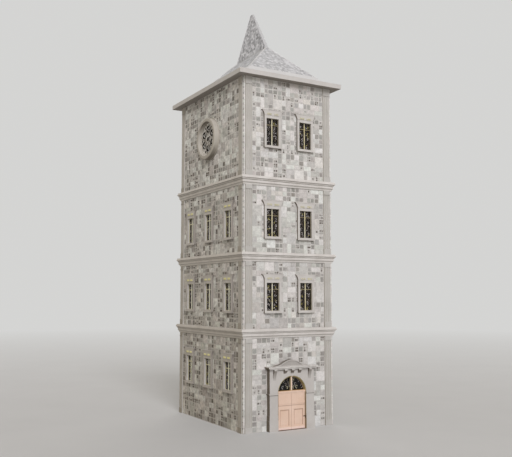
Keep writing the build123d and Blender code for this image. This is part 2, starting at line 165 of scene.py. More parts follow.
def islands(node):
    """The separate solids of a CAD node, as boxes of lowest and highest corner."""
    mesh = frame["nodes"][node].data
    keys = [tuple(round(c, 4) for c in v.co) for v in mesh.vertices]
    parent = {key: key for key in keys}

    def root(key):
        while parent[key] != key:
            parent[key] = parent[parent[key]]
            key = parent[key]
        return key

    for face in mesh.polygons:
        first = root(keys[face.vertices[0]])
        for vertex in face.vertices[1:]:
            parent[root(keys[vertex])] = first
    groups = {}
    for key in parent:
        groups.setdefault(root(key), []).append(key)
    return [
        (Vector(min(axis) for axis in zip(*group)), Vector(max(axis) for axis in zip(*group)))
        for group in groups.values()
    ]


class Side:
    """One face of the tower, seen from outside: its plane, and its directions right and out."""

    def __init__(self, origin, right, out):
        self.origin = Vector(origin)
        self.right = Vector(right)
        self.out = Vector(out)

    def at(self, across, height, proud):
        return self.origin + self.right * across + Vector((0, 0, height)) + self.out * proud

    def around(self, across, height, radius, angle, proud):
        """The point at a radius and an angle from a place on this face."""
        return self.at(across + radius * math.cos(angle), height + radius * math.sin(angle), proud)

    def holds(self, box):
        """Whether a box lies at this face, within half a metre of it."""
        middle = (box[0] + box[1]) / 2
        return abs((middle - self.origin).dot(self.out)) < 0.5

    def rectangle(self, box, grow=0.0):
        """A box's left, right, low and high on this face."""
        ends = sorted(corner.dot(self.right) for corner in box)
        return ends[0] - grow, ends[1] + grow, box[0].z - grow, box[1].z + grow


back_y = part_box("back_wall_2")[1].y
front_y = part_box("front_wall_2")[0].y
side_low, side_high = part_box("side_walls_2")
SIDES = {
    "front": Side((0, front_y, 0), (1, 0, 0), (0, -1, 0)),
    "back": Side((0, back_y, 0), (-1, 0, 0), (0, 1, 0)),
    "left": Side((side_low.x, 0, 0), (0, -1, 0), (-1, 0, 0)),
    "right": Side((side_high.x, 0, 0), (0, 1, 0), (1, 0, 0)),
}
LONG_SIDES = ("left", "right")


def on_side(side, node, grow=0.0):
    """Rectangles of a node's solids that lie on one side."""
    face = SIDES[side]
    return [face.rectangle(box, grow) for box in islands(node) if face.holds(box)]


def window_pitch(side):
    """Distance from the middle of a side to the middle of its outer windows, alike on every storey."""
    return max((left + right) / 2 for left, right, _, _ in on_side(side, "window_frames_2"))


def wall_ends(storey):
    """The foot and the top of a storey's walls."""
    low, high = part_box(f"back_wall_{storey}")
    return low.z, high.z


def placed(name, data):
    """A new object in the scene."""
    made = bpy.data.objects.new(name, data)
    bpy.context.scene.collection.objects.link(made)
    return made


# Meshes of many small pieces

class Pile:
    """Faces gathered into one mesh, each with a tone that its material turns into a colour."""

    def __init__(self):
        self.points = []
        self.faces = []
        self.tones = []

    def add(self, points, faces, tone):
        start = len(self.points)
        self.points.extend(points)
        self.faces.extend(tuple(start + i for i in face) for face in faces)
        self.tones.extend([tone] * len(faces))

    def rings(self, rings, tone):
        """Closed rings of equal length joined by quads, the last one filled."""
        count = len(rings[0])
        points = [point for ring in rings for point in ring]
        faces = []
        for start in range(0, count * (len(rings) - 1), count):
            for i in range(count):
                j = (i + 1) % count
                faces.append((start + i, start + j, start + count + j, start + count + i))
        faces.append(tuple((len(rings) - 1) * count + i for i in range(count)))
        self.add(points, faces, tone)

    def ribbon(self, line, widths, normal, thick, tone):
        """Flat bar with a ridge, along a line that lies on a face with this normal."""
        points = []
        for i, point in enumerate(line):
            ahead = line[min(i + 1, len(line) - 1)] - line[max(i - 1, 0)]
            across = ahead.cross(normal).normalized() * widths[i] / 2
            points.extend((point - across, point + normal * thick, point + across))
        faces = []
        for i in range(len(line) - 1):
            a = 3 * i
            faces.extend(((a, a + 1, a + 4, a + 3), (a + 1, a + 2, a + 5, a + 4)))
        self.add(points, faces, tone)

    def build(self, name, material, slot):
        """The mesh as an object that rides on the tower."""
        mesh = bpy.data.meshes.new(name)
        mesh.from_pydata(self.points, [], self.faces)
        mesh.attributes.new("tone", "FLOAT", "FACE").data.foreach_set("value", self.tones)
        mesh.materials.append(material)
        mesh.update()
        made = placed(name, mesh)
        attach(made, "tower")


# Materials

def linear(colour):
    """The linear colour of three screen levels up to 255; anything else is left as it is."""
    if isinstance(colour, tuple) and len(colour) == 3:
        levels = [level / 255 for level in colour]
        return (*(v / 12.92 if v <= 0.04045 else ((v + 0.055) / 1.055) ** 2.4 for v in levels), 1.0)
    return colour


def wired(tree, kind, inputs=None, **settings):
    """A new shader node of a tree, its sockets set to values or joined to other nodes."""
    made = tree.nodes.new("ShaderNode" + kind)
    for key, value in settings.items():
        setattr(made, key, value)
    for socket, value in (inputs or {}).items():
        if isinstance(value, bpy.types.NodeSocket):
            tree.links.new(value, made.inputs[socket])
        else:
            made.inputs[socket].default_value = value
    return made


class Look:
    """A principled material, with short calls for the nodes that colour and roughen it."""

    def __init__(self, name, roughness, specular):
        self.material = bpy.data.materials.new(name)
        self.material.use_nodes = True
        self.tree = self.material.node_tree
        self.shader = self.tree.nodes["Principled BSDF"]
        self.shader.inputs["Roughness"].default_value = roughness
        self.shader.inputs["Specular IOR Level"].default_value = specular
        self.place = self.node("TexCoord").outputs["Object"]

    def node(self, kind, inputs=None, **settings):
        return wired(self.tree, kind, inputs, **settings)

    def noise(self, scale, detail, stretch=(1, 1, 1)):
        place = self.node("Mapping", {"Vector": self.place, "Scale": stretch}).outputs["Vector"]
        inputs = {"Vector": place, "Scale": scale, "Detail": detail, "Roughness": 0.6}
        return self.node("TexNoise", inputs).outputs["Fac"]

    def grain(self, scale, along):
        """Noise drawn out upwards, as wood grain or the streaks of rain."""
        return self.noise(scale, 5, (1, 1, along))

    def axis(self, name):
        return self.node("SeparateXYZ", {"Vector": self.place}).outputs[name]

    def math(self, operation, value, *others):
        """The value worked on with each of the others in turn."""
        for other in others or (0.0,):
            value = self.node("Math", {0: value, 1: other}, operation=operation).outputs[0]
        return value

    def times(self, *values):
        return self.math("MULTIPLY", *values)

    def most(self, *values):
        return self.math("MAXIMUM", *values)

    def less(self, first, second):
        return self.math("SUBTRACT", first, second)

    def size(self, value):
        return self.math("ABSOLUTE", value)

    def over(self, value, limit):
        return self.math("GREATER_THAN", value, limit)

    def under(self, value, limit):
        return self.math("LESS_THAN", value, limit)

    def inside(self, axis, low, high):
        """One where a place lies between two values on an axis, and nought elsewhere."""
        return self.times(self.over(self.axis(axis), low), self.under(self.axis(axis), high))

    def stretch(self, value, low, high, to_low=0.0, to_high=1.0):
        inputs = {"Value": value, "From Min": low, "From Max": high, "To Min": to_low, "To Max": to_high}
        return self.node("MapRange", inputs).outputs["Result"]

    def fade(self, distance, start, end, level):
        """A level that falls to nought between two distances, and is nought below distance nought."""
        return self.times(self.over(distance, 0.0), self.stretch(distance, start, end, level, 0.0))

    def ramp(self, factor, stops):
        made = self.node("ValToRGB", {"Fac": factor})
        bar = made.color_ramp.elements
        while len(bar) < len(stops):
            bar.new(0.5)
        for element, (place, colour) in zip(bar, stops):
            element.position = place
            element.color = linear(colour)
        return made.outputs["Color"]

    def clouds(self, scale, detail, low, dark, high, pale):
        """Soft clouds from a dark colour to a pale one."""
        return self.ramp(self.noise(scale, detail), [(low, dark), (high, pale)])

    def mix(self, factor, first, second, blend="MIX"):
        inputs = {0: factor, 6: linear(first), 7: linear(second)}
        return self.node("Mix", inputs, data_type="RGBA", blend_type=blend).outputs[2]

    def through(self, colour, other):
        """One colour multiplied by another."""
        return self.mix(1.0, colour, other, "MULTIPLY")

    def darken(self, colour, level):
        grey = self.node("CombineXYZ", {"X": level, "Y": level, "Z": level}).outputs["Vector"]
        return self.through(colour, grey)

    def shade(self, colour, factor, low, high):
        """The colour made darker or lighter where a factor between 0 and 1 is low or high."""
        return self.darken(colour, self.stretch(factor, 0.25, 0.75, low, high))

    def mottled(self, colour, *clouds):
        """The colour in clouds, each given by its scale and detail and by its darkest and palest share."""
        for scale, detail, low, high in clouds:
            colour = self.shade(colour, self.noise(scale, detail), low, high)
        return colour

    def normal(self, axis):
        """The surface's own direction along an axis of the tower."""
        direction = self.node("TexCoord").outputs["Normal"]
        return self.node("SeparateXYZ", {"Vector": direction}).outputs[axis]

    def facing(self, axis, sign=0):
        """How far a face looks along an axis: either way, or one way only where a sign is given."""
        along = self.times(self.normal(axis), sign) if sign else self.size(self.normal(axis))
        return self.stretch(along, 0.4, 0.9)

    def flank(self):
        """One on what stands at the long sides of the tower, and nought at its front and back."""
        outside = self.over(self.size(self.axis("X")), FLANK_FROM)
        return self.times(outside, self.under(self.size(self.axis("Y")), FLANK_END))

    def from_window(self):
        """Distances from the middle of the nearest window: across the front, and along the long sides."""
        x, y = self.size(self.axis("X")), self.size(self.axis("Y"))
        across = self.size(self.less(x, window_pitch("front")))
        return across, self.math("MINIMUM", y, self.size(self.less(y, window_pitch("left"))))

    def darker_low_and_side_shade(self, colour):
        """Darker towards the foot of the tower, and with painted shade on faces that look to its long sides,
        browner and deeper towards the foot.
        """
        colour = self.darken(colour, self.stretch(self.axis("Z"), 0.5, 17.0, 0.90, 1.0))
        # Painted shade on faces that look to the long sides, deeper towards the foot
        side_shade = self.ramp(self.stretch(self.axis("Z"), 0.5, 19.0), [(0.0, LOW_SIDE_SHADE), (1.0, HIGH_SIDE_SHADE)])
        return self.mix(self.facing("X"), colour, self.through(colour, side_shade))

    def tone(self):
        return self.node("Attribute", attribute_name="tone").outputs["Fac"]

    def made(self, colour, *reliefs, strength=0.6):
        """The material in a colour, with its reliefs, each given by its noise and its depth."""
        self.tree.links.new(colour, self.shader.inputs["Base Color"])
        inputs = {"Strength": strength}
        for height, depth in reliefs:
            inputs.update({"Height": height, "Distance": depth})
            inputs["Normal"] = self.node("Bump", inputs).outputs["Normal"]
            self.tree.links.new(inputs["Normal"], self.shader.inputs["Normal"])
        return self.material


def rows_of_stone():
    """Squared stones, from dark brown grey to near white by their tone, some a little pink or green."""
    look = Look("squared_stone", 0.88, 0.25)
    tone = look.tone()
    colour = look.ramp(tone, [
        (0.00, (96, 88, 80)), (0.12, (130, 123, 116)), (0.25, (162, 158, 153)),
        (0.40, (182, 179, 175)), (0.55, (196, 193, 189)), (0.68, (214, 210, 206)),
        (0.84, (228, 225, 221)), (1.00, (243, 241, 238)),
    ])
    hue = look.ramp(look.math("FRACT", look.times(tone, 41.7)), [
        (0.0, (1.0, 0.965, 0.965, 1)), (0.3, (1, 1, 1, 1)), (0.6, (0.96, 1.0, 0.965, 1)),
        (0.8, (0.98, 0.985, 1.0, 1)), (1.0, (1.0, 0.98, 0.94, 1)),
    ])
    colour = look.mottled(look.through(colour, hue), (5.5, 3, 0.80, 1.12), (14.0, 4, 0.86, 1.08))
    worn = look.shade(colour, look.noise(4.5, 3, (1, 1, 1.2)), 0.58, 1.34)
    colour = look.mix(look.times(look.facing("X"), 0.8), colour, worn)
    colour = look.mottled(colour, (70.0, 3, 0.94, 1.04), (0.45, 3, 0.95, 1.03))
    return look.made(look.darker_low_and_side_shade(colour), (look.noise(26.0, 6), 0.008), (look.noise(110.0, 3), 0.003))


def lime_mortar():
    look = Look("lime_mortar", 0.95, 0.15)
    colour = look.clouds(7.0, 5, 0.36, (196, 192, 187), 0.64, (222, 219, 214))
    colour = look.mottled(colour, (90.0, 3, 0.93, 1.04))
    return look.made(look.darker_low_and_side_shade(colour), (look.noise(70.0, 5), 0.005))


def window_return_shade(look):
    """Painted shade on the faces of the surrounds turned sideways from their wall; in front only those away
    from the opening.
    """
    across, along = look.from_window()
    on_front = look.over(look.size(look.axis("Y")), FRONT_FROM)
    front = look.times(on_front, look.over(across, SURROUND_HALF), look.facing("X"))
    outer = look.stretch(along, SURROUND_HALF - 0.01, SURROUND_HALF + 0.01, 0.15, 0.75)
    return look.math("ADD", front, look.times(look.less(1.0, on_front), outer, look.facing("Y")))


def bracket_shade(look):
    """Painted shade on the sides of the brackets, and on their bellies where they turn under."""
    return look.most(look.facing("X"), look.stretch(look.times(look.normal("Z"), -1), 0.05, 0.5))


def pediment_shade(look):
    """Painted shade on the gable's sunk field and on its upper edge."""
    field = look.inside("Y", -PEDIMENT_FIELD - HAIR, -PEDIMENT_FIELD + HAIR)
    field = look.times(field, look.facing("Y"), 0.26)
    return look.most(look.times(look.facing("Z", 1), 0.9), field)


def portal_return_shade(look):
    """Painted shade on the outer sides of the portal, and on the sides of all that stands over its arch."""
    outside = look.over(look.size(look.axis("X")), PORTAL_OUTSIDE)
    return look.times(look.most(outside, look.over(look.axis("Z"), PORTAL_HEAD)), look.facing("X"))


def cut_stone(name, dark, pale, shaded_faces=None, streaks=0.03, underside_shade=0.72, flank=None, shadow_under=None):
    """Smooth cut stone in soft clouds, stained down its face, with painted shade on faces that look down, on
    the faces a mask picks, on its sides where a flank colour is given, and a painted shadow under a ledge.
    """
    look = Look(name, 0.78, 0.3)
    colour = look.clouds(1.3, 6, 0.32, dark, 0.68, pale)
    colour = look.shade(colour, look.grain(9.0, 0.08), 1.0 - streaks, 1.0 + streaks / 3)
    colour = look.mottled(colour, (75.0, 3, 0.965, 1.03))
    # A flank colour darkens faces that look to the long sides as painted shade
    if flank:
        colour = look.mix(look.facing("X"), colour, look.through(colour, flank))
    # Painted shade: faces that look down, the faces a mask picks, and a painted shadow just below a ledge
    painted_shade = look.times(look.facing("Z", -1), underside_shade)
    if shaded_faces:
        painted_shade = look.most(painted_shade, look.times(shaded_faces(look), 0.84))
    if shadow_under:
        painted_shade = look.most(painted_shade, look.fade(look.less(shadow_under, look.axis("Z")), 0.0, 0.055, 1.0))
    # The painted shade darkens the stone towards this brown grey
    colour = look.mix(painted_shade, colour, look.through(colour, (128, 118, 106)))
    return look.made(look.darker_low_and_side_shade(colour), (look.noise(40.0, 5), 0.003))


def pierced_stone():
    """Carved tracery: pale worn face, and painted shade, near black, on the sides of its holes."""
    look = Look("tracery_stone", 0.82, 0.25)
    colour = look.ramp(look.noise(7.0, 3), [
        (0.36, (150, 142, 130)), (0.46, (196, 190, 180)), (0.56, (222, 218, 210)),
        (0.64, (244, 241, 235)),
    ])
    # Faces that do not look out from the wall are painted near black as the shade in the holes
    colour = look.mix(look.facing("X"), (44, 38, 31), look.mottled(colour, (40.0, 4, 0.90, 1.05)))
    return look.made(colour, (look.noise(9.0, 3), 0.030), strength=0.8)


def tiles(name, *greys):
    """Fired tiles, each with its own grey."""
    look = Look(name, 0.62, 0.35)
    colour = look.ramp(look.tone(), list(zip((0.0, 0.35, 0.7, 1.0), greys)))
    colour = look.mottled(colour, (18.0, 5, 0.90, 1.06), (1.1, 3, 0.94, 1.04))
    return look.made(colour, (look.noise(55.0, 4), 0.003))


def window_paint():
    """Old cream paint with a faint grain on the front posts, the rest of the front frames dark brown as
    painted shade, and the long sides paler with a painted highlight on their posts.
    """
    look = Look("window_cream_paint", 0.5, 0.4)
    front_post, side_post = (look.under(distance, POST_HALF + HAIR) for distance in look.from_window())
    painted = look.clouds(2.3, 5, 0.34, (204, 190, 142), 0.66, (224, 220, 204))
    # Dark brown on the front frames away from the posts: painted shade
    worn = look.clouds(3.1, 5, 0.36, (92, 82, 58), 0.64, (146, 136, 106))
    # Near white on the posts of the long sides: a painted highlight
    on_sides = look.mix(side_post, (206, 198, 160), (255, 252, 226))
    colour = look.mix(look.flank(), look.mix(front_post, worn, painted), on_sides)
    colour = look.shade(colour, look.grain(34.0, 0.06), 0.96, 1.03)
    return look.made(look.mottled(colour, (6.0, 4, 0.97, 1.02)), (look.grain(46.0, 0.06), 0.002))


def iron(look, colour):
    """The dark brown of the lower right hinge over a colour; paint covers the other hinges."""
    proud = look.under(look.axis("Y"), -HINGE_FACE)
    hinge = look.times(look.inside("Z", *HINGE_SPAN), look.over(look.axis("X"), HINGE_FROM), proud)
    return look.mix(hinge, colour, look.clouds(30.0, 4, 0.3, (62, 44, 30), 0.7, (104, 76, 50)))


def salmon(look):
    """Salmon paint of the leaves and the transom, fading a little towards pink and cream."""
    colour = look.clouds(1.4, 4, 0.32, (225, 195, 173), 0.68, (232, 205, 187))
    colour = look.shade(colour, look.grain(26.0, 0.05), 0.97, 1.02)
    return look.mottled(colour, (7.0, 4, 0.975, 1.02))


def panel_shade(look):
    """Painted shade at the sides and the top of the low panels."""
    x, z = look.size(look.axis("X")), look.axis("Z")
    left, right, low, high = LOW_PANEL
    within = look.times(look.over(x, left - HAIR), look.under(x, right + HAIR))
    tall = look.inside("Z", low, high + HAIR)
    from_side = look.math("MINIMUM", look.less(x, left), look.less(right, x))
    side = look.stretch(from_side, 0.012, 0.05, 0.75, 0.0)
    top = look.stretch(look.less(high, z), 0.02, 0.075, 1.0, 0.0)
    return look.times(within, tall, look.most(side, top))


def door_paint():
    """Salmon paint with painted shade in the low panels, a painted shadow under the rail and painted shade
    over it, and a paler kick board.
    """
    look = Look("door_salmon_paint", 0.5, 0.35)
    z = look.axis("Z")
    kick = look.stretch(z, 0.15, 0.17, 0.8, 0.0)
    colour = look.mix(kick, salmon(look), (240, 216, 206))
    shadow_under_rail = look.fade(look.less(RAIL_HEIGHT, z), 0.012, 0.060, 1.0)
    shade_over_rail = look.fade(look.less(z, RAIL_HEIGHT + RAIL_HIGH), 0.0, 0.04, 0.45)
    # Painted shade and shadow on the leaves' front faces, towards a dark brown
    painted_shade = look.most(panel_shade(look), shadow_under_rail, shade_over_rail)
    painted_shade = look.times(painted_shade, look.under(look.axis("Y"), -LEAF_FACE), 0.62)
    colour = iron(look, look.mix(painted_shade, colour, (146, 108, 84)))
    return look.made(colour, (look.grain(46.0, 0.05), 0.0015))


def black_glass():
    look = Look("black_glass", 0.16, 0.28)
    colour = look.clouds(1.3, 3, 0.3, (8, 8, 9), 0.7, (20, 18, 18))
    return look.made(colour, (look.noise(3.5, 2), 0.004), strength=0.3)


def forged_bars():
    """Grille bars, pale with touches of old yellow paint and of rust."""
    look = Look("grille_paint", 0.6, 0.4)
    colour = look.ramp(look.tone(), [
        (0.0, (84, 62, 44)), (0.3, (128, 112, 96)), (0.6, (186, 180, 178)),
        (0.8, (214, 208, 206)), (0.9, (206, 198, 120)), (1.0, (186, 172, 84)),
    ])
    return look.made(look.mottled(colour, (16.0, 5, 0.55, 1.15)), (look.noise(80.0, 3), 0.002))


def gilded_paint():
    """Yellow and green paint on the carved tablets, worn to the stone in spots."""
    look = Look("tablet_paint", 0.55, 0.4)
    colour = look.ramp(look.tone(), [
        (0.0, (188, 185, 156)), (0.5, (212, 207, 172)), (0.8, (222, 216, 178)), (1.0, (164, 154, 116)),
    ])
    colour = look.mix(look.stretch(look.noise(11.0, 5), 0.43, 0.56), colour, (210, 205, 194))
    colour = look.mix(look.times(look.flank(), 0.7), colour, (240, 232, 150))
    return look.made(look.mottled(colour, (40.0, 4, 0.88, 1.06)), (look.noise(60.0, 4), 0.003))


def door_lining():
    """Lining painted olive brown as its salmon paint in shade, with a gilt edge, a salmon transom and a cream
    post with one yellow side.
    """
    look = Look("door_lining_paint", 0.55, 0.4)
    x, z = look.axis("X"), look.axis("Z")
    above = look.less(z, SPRING)
    radius = look.math("SQRT", look.math("ADD", look.times(x, x), look.times(above, above)))
    edge = look.times(look.under(radius, LINING_RADIUS + LINING_EDGE), look.over(above, 0.0),
                        look.under(look.axis("Y"), -LINING_FACE))
    beam = look.times(look.inside("Z", SPRING - TOUCH, TRANSOM_TOP + TOUCH),
                        look.inside("X", -LINING_RADIUS, LINING_RADIUS))
    gilt = look.times(beam, look.over(z, TRANSOM_TOP - GILT_HIGH))
    post = look.times(look.inside("X", -FAN_POST_HALF, FAN_POST_HALF), look.over(z, TRANSOM_TOP))
    cream = look.ramp(look.stretch(x, -FAN_POST_HALF, FAN_POST_HALF), [
        (0.0, (176, 160, 122)), (0.16, (186, 170, 128)), (0.26, (234, 208, 188)), (1.0, (238, 216, 198)),
    ])
    # Olive brown: the lining's salmon paint with the shade of the reveals painted in
    colour = look.clouds(3.0, 5, 0.34, (126, 104, 76), 0.66, (150, 130, 98))
    for zone, paint in (
        (edge, (184, 172, 116)), (beam, salmon(look)), (gilt, (176, 134, 76)), (post, cream),
        (look.under(z, THRESHOLD_TOP), (96, 70, 50)),
    ):
        colour = look.mix(zone, colour, paint)
    colour = iron(look, look.shade(colour, look.grain(30.0, 0.08), 0.95, 1.03))
    return look.made(colour, (look.grain(46.0, 0.08), 0.002))


SQUARED = rows_of_stone()
MORTAR = lime_mortar()
SCROLL = cut_stone("scroll_stone", (226, 222, 214), (246, 244, 238), streaks=0.04, underside_shade=0.3)
RIM = cut_stone("roof_rim_stone", (214, 213, 212), (222, 221, 220), streaks=0.02)
PAVING = cut_stone("paving_stone", (150, 142, 132), (172, 164, 152), streaks=0.04)
ROOF_TILES = tiles("roof_tiles", (184, 184, 185), (200, 200, 201), (214, 214, 215), (232, 232, 233))
SPIRE_TILES = tiles("spire_tiles", (164, 164, 166), (200, 200, 202), (226, 226, 228), (250, 250, 252))
DOOR_PAINT = door_paint()
GLASS = black_glass()
GRILLE = forged_bars()
TABLET = gilded_paint()

# The material of each CAD node, by the start of its name
NODE_FINISH = {
    "front_wall": MORTAR, "back_wall": MORTAR, "side_walls": MORTAR, "ground_floor": PAVING, "floor": PAVING,
    "window_glass": GLASS, "round_window_glass": GLASS, "fanlight_glass": GLASS, "hip_roof": RIM,
    "door_frame": door_lining(), "left_door_leaf": DOOR_PAINT, "right_door_leaf": DOOR_PAINT,
    "window_frames": window_paint(), "round_window_tracery": pierced_stone(),
    # The pilasters' flank colour is painted shade on their sides
    "pilasters": cut_stone("pilaster_stone", (192, 189, 183), (203, 200, 195), flank=(0.82, 0.79, 0.74, 1)),
    "string_course": cut_stone("course_stone", (212, 207, 201), (226, 222, 217), streaks=0.05, underside_shade=0.55),
    "window_surrounds": cut_stone("window_stone", (204, 199, 194), (216, 212, 207), window_return_shade, 0.04),
    "round_window_rings": cut_stone("ring_stone", (184, 178, 167), (196, 190, 180), streaks=0.04),
    "portal": cut_stone("portal_block_stone", (199, 194, 189), (209, 205, 200), portal_return_shade,
                        shadow_under=IMPOST_FOOT),
    "portal_cap": cut_stone("portal_cap_stone", (212, 208, 203), (222, 218, 213), portal_return_shade, underside_shade=0.95),
    "portal_pediment": cut_stone("pediment_stone", (196, 191, 186), (207, 203, 198), pediment_shade),
    "portal_brackets": cut_stone("bracket_stone", (196, 191, 186), (207, 203, 198), bracket_shade),
    "eaves_slab": cut_stone("eaves_block_stone", (206, 202, 197), (214, 210, 206)),
    "spire": cut_stone("spire_edge_stone", (196, 196, 196), (206, 206, 206)),
}


def finish_nodes():
    """Give every CAD node its material, found by the longest name that it starts with."""
    for name, node in frame["nodes"].items():
        best = max((start for start in NODE_FINISH if name.startswith(start)), key=len)
        node.data.materials.clear()
        node.data.materials.append(NODE_FINISH[best])


# Squared stones

# Each kind of stone: how often it is drawn, and how many cells it takes across and up
STONE_KINDS = {
    "great": (0.06, 2, 2), "long": (0.12, 2, 1), "tall": (0.07, 1, 2), "plain": (0.17, 1, 1),
    "square": (0.36, 1, 1), "four": (0.07, 1, 1), "row": (0.06, 1, 1), "stack": (0.04, 1, 1),
    "dot": (0.05, 1, 1),
}
PALE_KINDS = ("great", "long", "tall", "plain")

# Where the small stones of a cell stand, as shares of its width and height
SMALL_PLACES = {
    "four": [(0.29, 0.29), (0.71, 0.29), (0.29, 0.71), (0.71, 0.71)],
    "row": [(0.29, 0.4), (0.71, 0.4)], "stack": [(0.4, 0.28), (0.4, 0.72)], "dot": [(0.5, 0.5)],
}


def without(rectangle, hole):
    """What is left of a rectangle beside, under and over a hole, as smaller rectangles."""
    left, right, low, high = rectangle
    hole_left, hole_right, hole_low, hole_high = hole
    if hole_right <= left or hole_left >= right or hole_high <= low or hole_low >= high:
        return [rectangle]
    inner_left = max(left, hole_left)
    inner_right = min(right, hole_right)
    rest = [
        (left, inner_left, low, high), (inner_right, right, low, high),
        (inner_left, inner_right, low, hole_low), (inner_left, inner_right, hole_high, high),
    ]
    return [r for r in rest if r[1] - r[0] > SMALLEST_STONE and r[3] - r[2] > SMALLEST_STONE]


def uneven_lines(low, high, dice):
    """Lines that divide a length into modules, some a little wider than others."""
    shares = [dice.uniform(0.84, 1.16) for _ in range(max(1, round((high - low) / MODULE)))]
    scale = (high - low) / sum(shares)
    lines = [low]
    for share in shares:
        lines.append(lines[-1] + share * scale)
    return lines


def shrunk(rectangle, inset):
    left, right, low, high = rectangle
    return left + inset, right - inset, low + inset, high - inset


def corners(rectangle, inset):
    """The four corners of a rectangle drawn in by an inset, turning left."""
    left, right, low, high = shrunk(rectangle, inset)
    return (left, low), (right, low), (right, high), (left, high)


def small_squares(cell, places, dice):
    """Small stones in one cell, with their tones."""
    left, right, low, high = cell
    half = SMALL_SQUARE / 2
    stones = []
    for u, v in places:
        x = left + (right - left) * u
        z = low + (high - low) * v
        tone = dice.choice((0.03, 0.16, 0.30, 0.36)) + dice.uniform(0.0, 0.1)
        stones.append(((x - half, x + half, z - half, z + half), tone))
    return stones


def stones_of_kind(kind, cell, dice):
    """The stones that fill one cell, or one run of cells, with their tones."""
    if kind in SMALL_PLACES:
        return small_squares(cell, SMALL_PLACES[kind], dice)
    if kind == "square":
        inset = WIDE_JOINT / 2 * dice.uniform(0.7, 1.2)
        return [(shrunk(cell, inset), dice.uniform(0.26, 0.56))]
    return [(cell, dice.uniform(0.60, 1.0))]


def laid_stones(left, right, low, high, dice):
    """Pale blocks of one, two or four cells, grey squares in wide joints and groups of small squares."""
    columns = uneven_lines(left, right, dice)
    rows = uneven_lines(low, high, dice)
    last_column, last_row = len(columns) - 1, len(rows) - 1
    column_grey = [dice.uniform(0.5, 1.7) for _ in columns]
    taken = set()
    stones = []
    for row in range(last_row):
        row_grey = dice.uniform(0.6, 1.5)
        for column in range(last_column):
            if (column, row) in taken:
                continue
            grey = row_grey * column_grey[column]
            weights = [
                share * (1 if kind in PALE_KINDS else grey) for kind, (share, _, _) in STONE_KINDS.items()
            ]
            kind = dice.choices(list(STONE_KINDS), weights)[0]
            across, up = STONE_KINDS[kind][1:]
            cells = [(column + i, row + k) for i in range(across) for k in range(up)]
            if not all(c < last_column and r < last_row and (c, r) not in taken for c, r in cells):
                kind, across, up = "plain", 1, 1
                cells = [(column, row)]
            taken.update(cells)
            cell = (columns[column], columns[column + across], rows[row], rows[row + up])
            stones.extend(stones_of_kind(kind, cell, dice))
    return stones


def add_stone(pile, side, rectangle, tone, dice):
    """One stone with worn edges, a little proud of the mortar."""
    half = JOINT / 2
    proud = dice.uniform(*STONE_PROUD)
    worn = [dice.uniform(-0.003, 0.003) for _ in range(8)]

    def ring(inset, out):
        return [side.at(a + worn[2 * i], h + worn[2 * i + 1], out)
                for i, (a, h) in enumerate(corners(rectangle, inset))]

    pile.rings([ring(half, -0.003), ring(half + 0.001, proud - CHAMFER), ring(half + CHAMFER, proud)], tone)


def round_hole_bands(side):
    """The round window's hole as level bands that end under its ring."""
    (left, right, low, high), = on_side(side, "round_window_rings")
    across, height = (left + right) / 2, (low + high) / 2
    reach = (high - low) / 2 - UNDER_RING
    bands = []
    for step in range(RING_BANDS):
        bottom = -reach + 2 * reach * step / RING_BANDS
        top = bottom + 2 * reach / RING_BANDS
        nearest = min(abs(bottom), abs(top)) if bottom * top > 0 else 0
        half = math.sqrt(reach ** 2 - nearest ** 2) * 0.94
        bands.append((across - half, across + half, height + bottom, height + top))
    return bands


def wall_holes(side, storey):
    """Rectangles of a wall that take no stones: its windows and, on the front, its doorway."""
    holes = on_side(side, f"window_frames_{storey}", UNDER_SURROUND - FRAME_LAP)
    if storey == 4 and side in LONG_SIDES:
        holes.extend(round_hole_bands(side))
    if storey == 1 and side == "front":
        left, right, _, _ = SIDES[side].rectangle(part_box("portal_jambs"), -UNDER_PORTAL)
        top = SIDES[side].rectangle(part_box("portal_arch"), -UNDER_PORTAL)[3]
        holes.append((left, right, 0.0, top))
    return holes


def lay_wall(pile, side, storey, dice):
    """Stones of one side and storey, between its two pilasters."""
    strips = on_side(side, f"pilasters_{storey}")
    left = max(strip[1] for strip in strips if strip[1] < 0)
    right = min(strip[0] for strip in strips if strip[0] > 0)
    holes = wall_holes(side, storey)
    for rectangle, tone in laid_stones(left, right, *wall_ends(storey), dice):
        if side in LONG_SIDES:
            tone = max(0.0, min(1.0, MIDDLE_TONE + (tone - MIDDLE_TONE) * SIDE_SPREAD))
        parts = [rectangle]
        for hole in holes:
            parts = [rest for part in parts for rest in without(part, hole)]
        for part in parts:
            add_stone(pile, SIDES[side], part, tone, dice)


def chamfered_box(pile, ends_x, ends_y, ends_z, cut, tone):
    """Box with its edges cut."""
    def ring(inset, height):
        return [Vector((x, y, height)) for x, y in corners((*ends_x, *ends_y), inset)]
    low, high = ends_z
    rings = [ring(cut, low), ring(0, low + cut), ring(0, high - cut), ring(cut, high)]
    pile.rings(rings, tone)
    pile.add(rings[0][::-1], [(0, 1, 2, 3)], tone)


